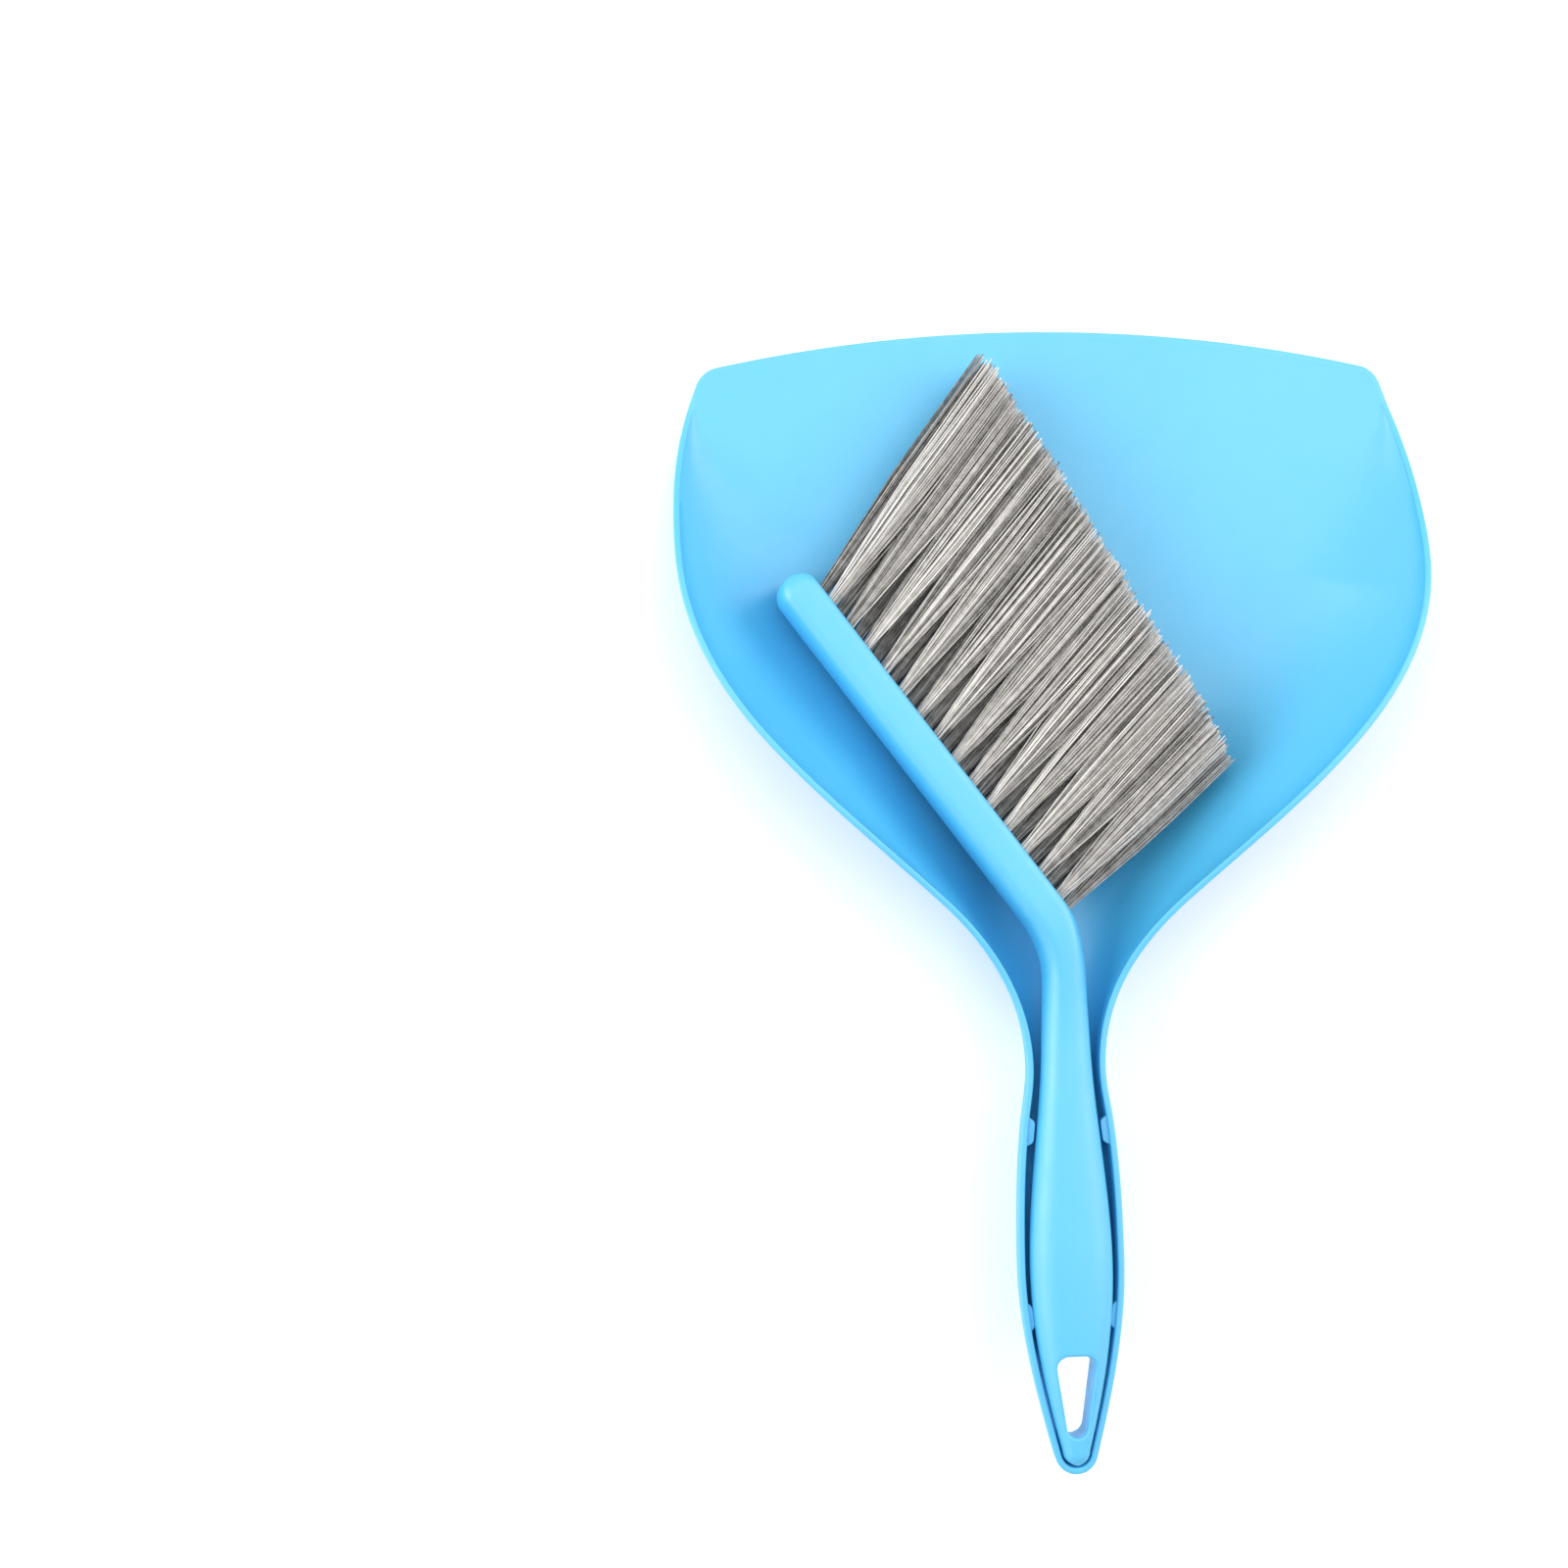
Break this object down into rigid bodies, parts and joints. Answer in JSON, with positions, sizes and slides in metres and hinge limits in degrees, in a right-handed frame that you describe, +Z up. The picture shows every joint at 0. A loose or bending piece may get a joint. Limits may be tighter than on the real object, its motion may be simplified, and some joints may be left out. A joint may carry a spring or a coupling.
{
  "type": "dust pan and brush set",
  "caption": "Hand dust pan with an open-channel handle and an angled soft brush that lies inside it, held by small snap ledges.",
  "frame": {"origin": "middle of the pan's footprint, on the floor", "axes": "+Z up, +Y from the handle towards the pan's lip, +X to the right seen from above with the lip ahead"},
  "size_m": [0.2106, 0.3157, 0.036],
  "materials": {
    "blue_plastic": "satin moulded polypropylene",
    "bristle": "fine grey filaments",
    "staple_wire": "flat wire"
  },
  "bodies": {
    "pan": {"pan": "blue_plastic"},
    "brush": {"brush_handle": "blue_plastic", "staples": "staple_wire", "tuft_top_01": "bristle", "tuft_top_02": "bristle", "tuft_top_03": "bristle", "tuft_top_04": "bristle", "tuft_top_05": "bristle", "tuft_top_06": "bristle", "tuft_top_07": "bristle", "tuft_top_08": "bristle", "tuft_top_09": "bristle", "tuft_top_10": "bristle", "tuft_top_11": "bristle", "tuft_top_12": "bristle", "tuft_top_13": "bristle", "tuft_top_14": "bristle", "tuft_mid_01": "bristle", "tuft_mid_02": "bristle", "tuft_mid_03": "bristle", "tuft_mid_04": "bristle", "tuft_mid_05": "bristle", "tuft_mid_06": "bristle", "tuft_mid_07": "bristle", "tuft_mid_08": "bristle", "tuft_mid_09": "bristle", "tuft_mid_10": "bristle", "tuft_mid_11": "bristle", "tuft_mid_12": "bristle", "tuft_mid_13": "bristle", "tuft_mid_14": "bristle", "tuft_mid_15": "bristle", "tuft_low_01": "bristle", "tuft_low_02": "bristle", "tuft_low_03": "bristle", "tuft_low_04": "bristle", "tuft_low_05": "bristle", "tuft_low_06": "bristle", "tuft_low_07": "bristle", "tuft_low_08": "bristle", "tuft_low_09": "bristle", "tuft_low_10": "bristle", "tuft_low_11": "bristle", "tuft_low_12": "bristle", "tuft_low_13": "bristle", "tuft_low_14": "bristle"}
  },
  "joints": [
    {"name": "brush_lift", "type": "slide", "parent": "pan", "child": "brush", "axis": [0, 0, 1], "range_m": [0, 0.12]}
  ]
}
